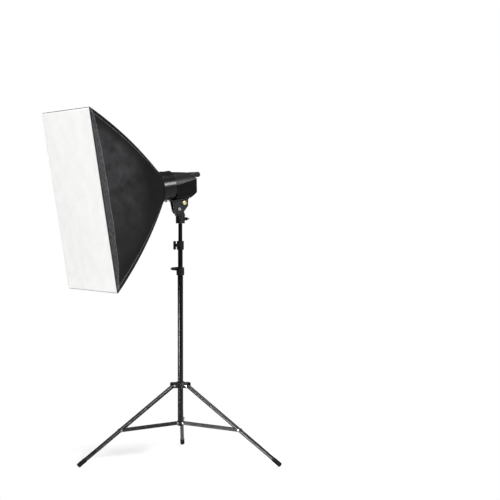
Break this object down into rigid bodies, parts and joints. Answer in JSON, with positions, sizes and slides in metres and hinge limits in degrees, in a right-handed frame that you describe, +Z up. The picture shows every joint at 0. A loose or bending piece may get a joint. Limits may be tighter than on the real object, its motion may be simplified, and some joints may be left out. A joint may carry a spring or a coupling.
{
  "type": "studio softbox",
  "caption": "Rectangular fabric softbox on a flash head that tilts and pans on a folding telescopic light stand.",
  "frame": {"origin": "on the floor under the column axis", "axes": "+Z up along the column, softbox facing -Y"},
  "size_m": [0.7827, 0.7444, 1.3654],
  "materials": {
    "tube_black": "satin black coated tube",
    "bar_black": "black coated flat bar",
    "moulded_black": "moulded glass-filled plastic",
    "rubber_black": "rubber cap",
    "steel": "plated steel",
    "bracket_metal": "cast bracket, dark grey paint",
    "brass": "brass bolt",
    "head_gloss": "moulded black housing",
    "release_grey": "moulded grey button",
    "panel_black": "moulded control panel",
    "screw_black": "blackened screw",
    "switch_red": "red moulded switch",
    "lamp_green": "indicator lens",
    "sensor_red": "sensor dome",
    "socket_metal": "plated socket",
    "board_green": "circuit board",
    "can_blue": "sleeved capacitor can",
    "reflector_bright": "spun bright dish",
    "tube_glass": "frosted glass",
    "ring_metal": "anodised ring",
    "rod_steel": "spring rod",
    "shell_fabric": "black coated nylon",
    "diffuser_fabric": "white translucent nylon"
  },
  "bodies": {
    "stand_base": {"column_lower": "tube_black", "column_plug": "moulded_black", "brace_hub": "moulded_black", "hub_pins": "steel", "lower_clamp": "moulded_black"},
    "leg_slider": {"leg_collar": "moulded_black", "leg_pins": "steel"},
    "collar_knob": {"collar_knob": "moulded_black"},
    "lower_clamp_knob": {"lower_clamp_knob": "moulded_black"},
    "middle_section": {"column_middle": "tube_black", "upper_clamp": "moulded_black"},
    "upper_clamp_knob": {"upper_clamp_knob": "moulded_black"},
    "upper_section": {"column_upper": "tube_black", "spigot": "steel"},
    "stand_adapter": {"stand_adapter": "bracket_metal"},
    "adapter_knob": {"adapter_knob": "moulded_black"},
    "flash_head": {"head_bracket": "bracket_metal", "pivot_bolt": "steel", "lock_bolt": "brass", "lock_nut": "brass", "mount_collar": "head_gloss", "housing_lower": "head_gloss", "housing_upper": "head_gloss", "carry_handle": "head_gloss", "control_panel": "panel_black", "panel_screws": "screw_black", "ready_lamp": "lamp_green", "slave_sensor": "sensor_red", "sync_socket": "socket_metal", "fuse_holder": "panel_black", "power_inlet": "panel_black", "circuit_board": "board_green", "capacitor": "can_blue", "reflector_pan": "reflector_bright", "flash_tube": "tube_glass", "modelling_lamp": "tube_glass"},
    "mount_release": {"mount_release": "release_grey"},
    "power_dial": {"power_dial": "panel_black"},
    "power_switch": {"power_switch": "switch_red"},
    "lamp_switch": {"lamp_switch": "panel_black"},
    "test_button": {"test_button": "switch_red"},
    "softbox": {"speed_ring": "ring_metal", "rods": "rod_steel", "panel_top": "shell_fabric", "panel_bottom": "shell_fabric", "panel_left": "shell_fabric", "panel_right": "shell_fabric", "rear_hem": "shell_fabric", "inner_baffle": "diffuser_fabric", "front_diffuser": "diffuser_fabric"},
    "leg_front": {"leg_front": "tube_black", "foot_front": "rubber_black"},
    "brace_front": {"brace_front": "bar_black"},
    "leg_left": {"leg_left": "tube_black", "foot_left": "rubber_black"},
    "brace_left": {"brace_left": "bar_black"},
    "leg_right": {"leg_right": "tube_black", "foot_right": "rubber_black"},
    "brace_right": {"brace_right": "bar_black"}
  },
  "joints": [
    {"name": "stand_fold", "type": "slide", "parent": "stand_base", "child": "leg_slider", "axis": [0, 0, 1], "range_m": [0, 0.382]},
    {"name": "leg_front_swing", "type": "hinge", "parent": "leg_slider", "child": "leg_front", "pos_m": [0.00259, -0.0329, 0.292], "axis": [0.9969, 0.0785, 0], "range_deg": [0, 55.39]},
    {"name": "brace_front_swing", "type": "hinge", "parent": "stand_base", "child": "brace_front", "pos_m": [0.00141, -0.01794, 0.144], "axis": [-0.9969, -0.0785, 0], "range_deg": [0, 89.44]},
    {"name": "leg_left_swing", "type": "hinge", "parent": "leg_slider", "child": "leg_left", "pos_m": [0.0272, 0.01869, 0.292], "axis": [-0.5664, 0.8241, 0], "range_deg": [0, 55.39]},
    {"name": "brace_left_swing", "type": "hinge", "parent": "stand_base", "child": "brace_left", "pos_m": [0.01483, 0.01019, 0.144], "axis": [0.5664, -0.8241, 0], "range_deg": [0, 89.44]},
    {"name": "leg_right_swing", "type": "hinge", "parent": "leg_slider", "child": "leg_right", "pos_m": [-0.02978, 0.01421, 0.292], "axis": [-0.4305, -0.9026, 0], "range_deg": [0, 55.39]},
    {"name": "brace_right_swing", "type": "hinge", "parent": "stand_base", "child": "brace_right", "pos_m": [-0.01625, 0.00775, 0.144], "axis": [0.4305, 0.9026, 0], "range_deg": [0, 89.44]},
    {"name": "collar_knob_turn", "type": "hinge", "parent": "leg_slider", "child": "collar_knob", "pos_m": [0, 0, 0.292], "axis": [-0.0785, 0.9969, 0], "range_deg": [0, 360]},
    {"name": "lower_knob_turn", "type": "hinge", "parent": "stand_base", "child": "lower_clamp_knob", "pos_m": [0, 0, 0.753], "axis": [-0.454, -0.891, 0], "range_deg": [0, 360]},
    {"name": "middle_slide", "type": "slide", "parent": "stand_base", "child": "middle_section", "axis": [0, 0, 1], "range_m": [-0.06, 0.395]},
    {"name": "upper_knob_turn", "type": "hinge", "parent": "middle_section", "child": "upper_clamp_knob", "pos_m": [0, 0, 0.846], "axis": [0.3907, -0.9205, 0], "range_deg": [0, 360]},
    {"name": "upper_slide", "type": "slide", "parent": "middle_section", "child": "upper_section", "axis": [0, 0, 1], "range_m": [-0.06, 0.395]},
    {"name": "head_pan", "type": "hinge", "parent": "upper_section", "child": "stand_adapter", "pos_m": [0, 0, 0.945], "axis": [0, 0, 1], "continuous": true},
    {"name": "adapter_knob_turn", "type": "hinge", "parent": "stand_adapter", "child": "adapter_knob", "pos_m": [0, 0, 0.95], "axis": [0, 1, 0], "range_deg": [0, 360]},
    {"name": "head_tilt", "type": "hinge", "parent": "stand_adapter", "child": "flash_head", "pos_m": [0, -0.01, 0.988], "axis": [1, 0, 0], "range_deg": [-50, 30]},
    {"name": "softbox_turn", "type": "hinge", "parent": "flash_head", "child": "softbox", "pos_m": [0, -0.10069, 1.07259], "axis": [0, -0.9871, -0.1599], "range_deg": [-90, 90]},
    {"name": "release_press", "type": "slide", "parent": "flash_head", "child": "mount_release", "axis": [0, -0.1599, 0.9871], "range_m": [0, 0.003], "stiffness_N_per_m": 900},
    {"name": "dial_turn", "type": "hinge", "parent": "flash_head", "child": "power_dial", "pos_m": [0.024, 0.03964, 1.08722], "axis": [0, -0.9998, -0.0209], "range_deg": [0, 270]},
    {"name": "power_switch_tip", "type": "hinge", "parent": "flash_head", "child": "power_switch", "pos_m": [-0.031, 0.04014, 1.06323], "axis": [1, 0, 0], "range_deg": [0, 14]},
    {"name": "lamp_switch_tip", "type": "hinge", "parent": "flash_head", "child": "lamp_switch", "pos_m": [-0.031, 0.03961, 1.08822], "axis": [1, 0, 0], "range_deg": [0, 14]},
    {"name": "test_press", "type": "slide", "parent": "flash_head", "child": "test_button", "axis": [0, -0.9998, -0.0209], "range_m": [0, 0.0015], "stiffness_N_per_m": 800}
  ],
  "couplings": [
    {"joint": "leg_front_swing", "follows": "stand_fold", "rad_per_m": 2.5125},
    {"joint": "brace_front_swing", "follows": "stand_fold", "rad_per_m": 4.068},
    {"joint": "leg_left_swing", "follows": "stand_fold", "rad_per_m": 2.5125},
    {"joint": "brace_left_swing", "follows": "stand_fold", "rad_per_m": 4.068},
    {"joint": "leg_right_swing", "follows": "stand_fold", "rad_per_m": 2.5125},
    {"joint": "brace_right_swing", "follows": "stand_fold", "rad_per_m": 4.068}
  ]
}
